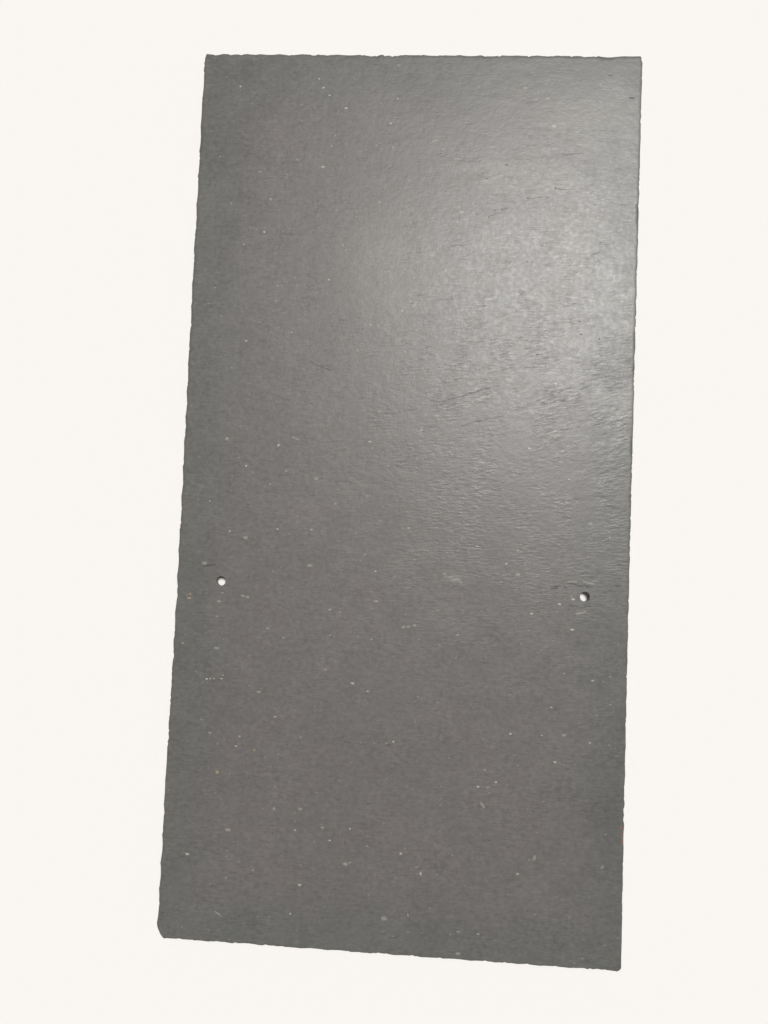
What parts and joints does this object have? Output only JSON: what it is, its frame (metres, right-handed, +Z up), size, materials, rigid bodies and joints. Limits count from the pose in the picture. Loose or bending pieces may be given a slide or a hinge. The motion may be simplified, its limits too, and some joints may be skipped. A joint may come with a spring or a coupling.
{
  "type": "slate roof tile",
  "caption": "Rectangular riven slate roof tile with dressed, scalloped edges, broken corners and punched nail holes for centre nailing.",
  "frame": {"origin": "centre of the slate's outline, on the weather face that it lies on", "axes": "+X across the slate, +Y along it towards the tail, +Z up out of the bed face"},
  "size_m": [0.25, 0.5, 0.0055],
  "materials": {
    "slate": "satin"
  },
  "bodies": {
    "root": {"slate": "slate"}
  },
  "joints": []
}
